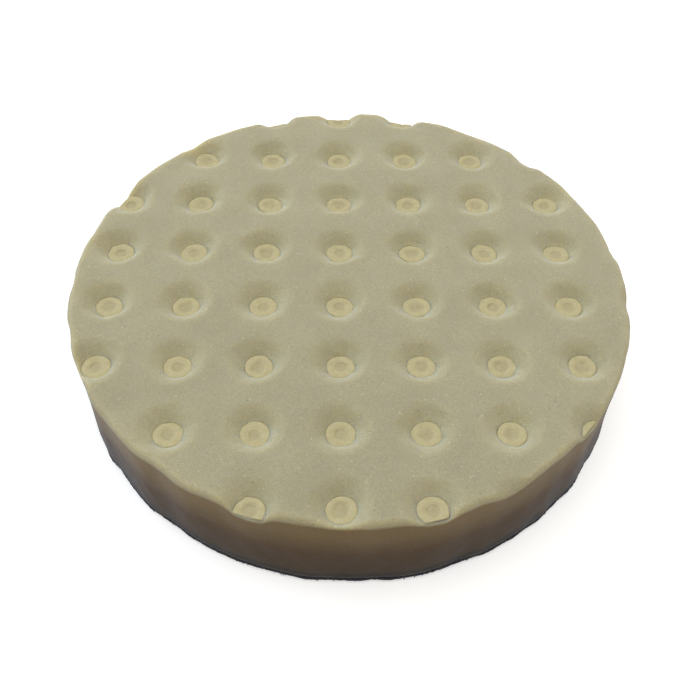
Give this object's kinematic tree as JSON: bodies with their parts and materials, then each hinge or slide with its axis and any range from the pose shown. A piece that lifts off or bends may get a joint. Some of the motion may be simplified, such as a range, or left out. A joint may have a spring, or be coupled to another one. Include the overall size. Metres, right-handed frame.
{
  "type": "polishing pad",
  "caption": "Round flat foam polishing pad with a lattice of sealed round pockets in its working face and a hook-and-loop fabric back.",
  "frame": {"origin": "under the middle of the disc, on the surface that the pad's loop fabric lies on", "axes": "+Z out of the working face along the disc's axis, +X along the rows of sealed pockets, right-handed"},
  "size_m": [0.1396, 0.1396, 0.0268],
  "materials": {
    "foam": "fine open-cell polyurethane foam, matt, cream",
    "sealed_cells": "foam cells closed with set resin, hard, slightly glossy, pale yellow",
    "bond_film": "thin hot-melt film, pressed into the foam and the cloth",
    "ground_cloth": "knitted polyester base cloth, near black with a blue cast",
    "loop_pile": "brushed nylon loops, near black with a blue cast"
  },
  "bodies": {
    "root": {"bond_film": "bond_film", "foam_disc": "foam", "loop_ground_cloth": "ground_cloth", "loop_pile": "loop_pile", "sealed_dot_r0_c0": "sealed_cells", "sealed_dot_r0_c1": "sealed_cells", "sealed_dot_r0_cm1": "sealed_cells", "sealed_dot_r1_c0": "sealed_cells", "sealed_dot_r1_c1": "sealed_cells", "sealed_dot_r1_c2": "sealed_cells", "sealed_dot_r1_cm1": "sealed_cells", "sealed_dot_r1_cm2": "sealed_cells", "sealed_dot_r2_c0": "sealed_cells", "sealed_dot_r2_c1": "sealed_cells", "sealed_dot_r2_c2": "sealed_cells", "sealed_dot_r2_c3": "sealed_cells", "sealed_dot_r2_cm1": "sealed_cells", "sealed_dot_r2_cm2": "sealed_cells", "sealed_dot_r2_cm3": "sealed_cells", "sealed_dot_r3_c0": "sealed_cells", "sealed_dot_r3_c1": "sealed_cells", "sealed_dot_r3_c2": "sealed_cells", "sealed_dot_r3_c3": "sealed_cells", "sealed_dot_r3_cm1": "sealed_cells", "sealed_dot_r3_cm2": "sealed_cells", "sealed_dot_r3_cm3": "sealed_cells", "sealed_dot_r4_c0": "sealed_cells", "sealed_dot_r4_c1": "sealed_cells", "sealed_dot_r4_c2": "sealed_cells", "sealed_dot_r4_c3": "sealed_cells", "sealed_dot_r4_cm1": "sealed_cells", "sealed_dot_r4_cm2": "sealed_cells", "sealed_dot_r4_cm3": "sealed_cells", "sealed_dot_r5_c0": "sealed_cells", "sealed_dot_r5_c1": "sealed_cells", "sealed_dot_r5_c2": "sealed_cells", "sealed_dot_r5_c3": "sealed_cells", "sealed_dot_r5_cm1": "sealed_cells", "sealed_dot_r5_cm2": "sealed_cells", "sealed_dot_r5_cm3": "sealed_cells", "sealed_dot_r6_c0": "sealed_cells", "sealed_dot_r6_c1": "sealed_cells", "sealed_dot_r6_c2": "sealed_cells", "sealed_dot_r6_c3": "sealed_cells", "sealed_dot_r6_cm1": "sealed_cells", "sealed_dot_r6_cm2": "sealed_cells", "sealed_dot_r7_c0": "sealed_cells", "sealed_dot_r7_c1": "sealed_cells", "sealed_dot_r7_cm1": "sealed_cells"}
  },
  "joints": []
}
